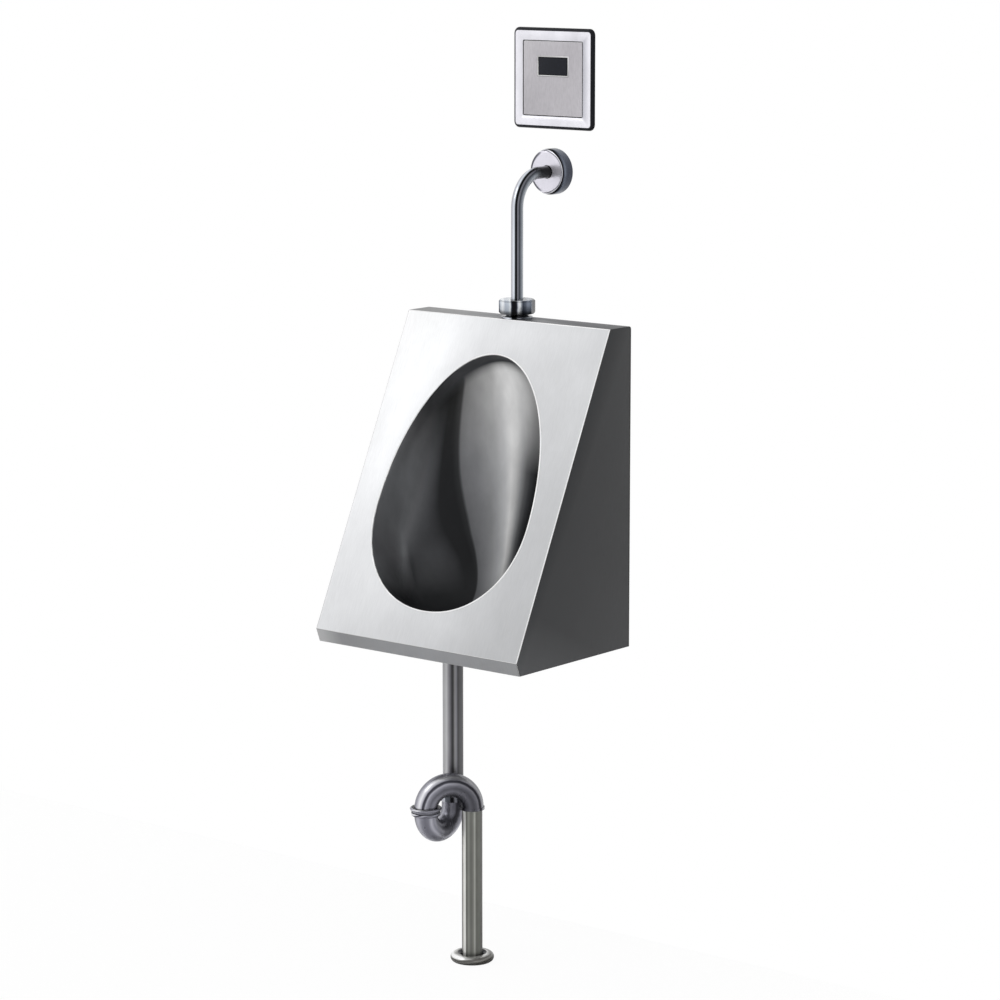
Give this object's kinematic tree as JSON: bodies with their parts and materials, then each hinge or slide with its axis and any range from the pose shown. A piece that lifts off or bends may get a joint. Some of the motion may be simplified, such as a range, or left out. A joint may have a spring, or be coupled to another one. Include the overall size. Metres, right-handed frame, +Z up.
{
  "type": "wall-hung urinal with sensor flush",
  "caption": "Wall-hung sheet steel urinal with an egg-shaped bowl in a sloping front, sensor flush plate, flush pipe, cast trap and floor waste pipe.",
  "frame": {"origin": "midway between the two wall fixings, on the face of the finished wall", "axes": "+Z up, +Y into the wall, -Y towards the user, +X to the user's right"},
  "size_m": [0.4, 0.4173, 1.4595],
  "materials": {
    "sheet_steel": "satin brushed, grain upright",
    "tube_steel": "drawn tube, fine lengthwise grain",
    "bracket_steel": "zinc plated, dull",
    "chrome_plate": "polished plating",
    "cast_chrome": "plated casting, slightly uneven",
    "brass": "turned, dull",
    "rubber": "matt black",
    "housing_plastic": "moulded, fine grain",
    "window_plastic": "dark glossy infrared window",
    "battery_sleeve": "plain sleeve"
  },
  "bodies": {
    "root": {"cabinet_shell": "sheet_steel", "front_panel": "sheet_steel", "bowl_back": "sheet_steel", "bowl_left": "sheet_steel", "bowl_right": "sheet_steel", "bowl_front": "sheet_steel", "hook_rail": "sheet_steel", "wall_hanger": "bracket_steel", "anchor_nuts": "bracket_steel", "wall_anchors": "bracket_steel", "spacer_brackets": "bracket_steel", "bumper_pads": "rubber", "inlet_spud": "chrome_plate", "spud_washer": "rubber", "spud_locknut": "brass", "spud_seal": "rubber", "spreader_pipe": "tube_steel", "flush_pipe": "chrome_plate", "wall_elbow": "brass", "riser_pipe": "brass", "valve_body": "brass", "valve_diaphragm": "rubber", "solenoid_coil": "housing_plastic", "plunger_spring": "tube_steel", "inlet_filter": "tube_steel", "concealed_box": "housing_plastic", "battery_case": "housing_plastic", "batteries": "battery_sleeve", "sensor_module": "housing_plastic", "waste_body": "sheet_steel", "waste_gasket": "rubber", "waste_locknut": "brass", "drain_pipe": "tube_steel", "trap_inlet_washer": "rubber", "trap_arch": "cast_chrome", "floor_pipe": "tube_steel", "floor_seal": "rubber"},
    "plate": {"plate_frame": "chrome_plate", "plate_face": "sheet_steel", "sensor_window": "window_plastic", "window_bezel": "chrome_plate"},
    "plunger": {"solenoid_plunger": "tube_steel"},
    "stop": {"stop_spindle": "brass"},
    "nut": {"spud_nut": "chrome_plate"},
    "rose": {"wall_flange": "chrome_plate"},
    "strainer": {"drain_strainer": "sheet_steel"},
    "inlet_nut": {"trap_inlet_nut": "chrome_plate"},
    "joint_nut": {"trap_joint_nut": "cast_chrome"},
    "trap": {"trap_bowl": "cast_chrome", "trap_joint_washer": "rubber"},
    "floor_rose": {"floor_flange": "cast_chrome"}
  },
  "joints": [
    {"name": "plate_pull", "type": "slide", "parent": "root", "child": "plate", "axis": [0, -1, 0], "range_m": [0, 0.05]},
    {"name": "plunger_lift", "type": "slide", "parent": "root", "child": "plunger", "axis": [0, 0, 1], "range_m": [0, 0.003], "stiffness_N_per_m": 400, "springref_m": -0.002, "deforming": ["plunger_spring"]},
    {"name": "stop_turn", "type": "hinge", "parent": "root", "child": "stop", "pos_m": [-0.044, 0.035, 0.404], "axis": [0, -1, 0], "range_deg": [0, 90]},
    {"name": "spud_nut_turn", "type": "hinge", "parent": "root", "child": "nut", "pos_m": [0, -0.094, 0.085], "axis": [0, 0, 1], "range_deg": [0, 720]},
    {"name": "rose_slide", "type": "slide", "parent": "root", "child": "rose", "axis": [0, -1, 0], "range_m": [0, 0.02]},
    {"name": "strainer_lift", "type": "slide", "parent": "root", "child": "strainer", "axis": [0, 0, 1], "range_m": [0, 0.02]},
    {"name": "inlet_nut_turn", "type": "hinge", "parent": "root", "child": "inlet_nut", "pos_m": [0, -0.252, -0.662], "axis": [0, 0, 1], "range_deg": [0, 720]},
    {"name": "joint_nut_turn", "type": "hinge", "parent": "root", "child": "joint_nut", "pos_m": [0, -0.318, -0.674], "axis": [0, 0, 1], "range_deg": [0, 720]},
    {"name": "trap_drop", "type": "slide", "parent": "root", "child": "trap", "axis": [0, 0, -1], "range_m": [0, 0.05]},
    {"name": "floor_rose_lift", "type": "slide", "parent": "root", "child": "floor_rose", "axis": [0, 0, 1], "range_m": [0, 0.12]}
  ]
}
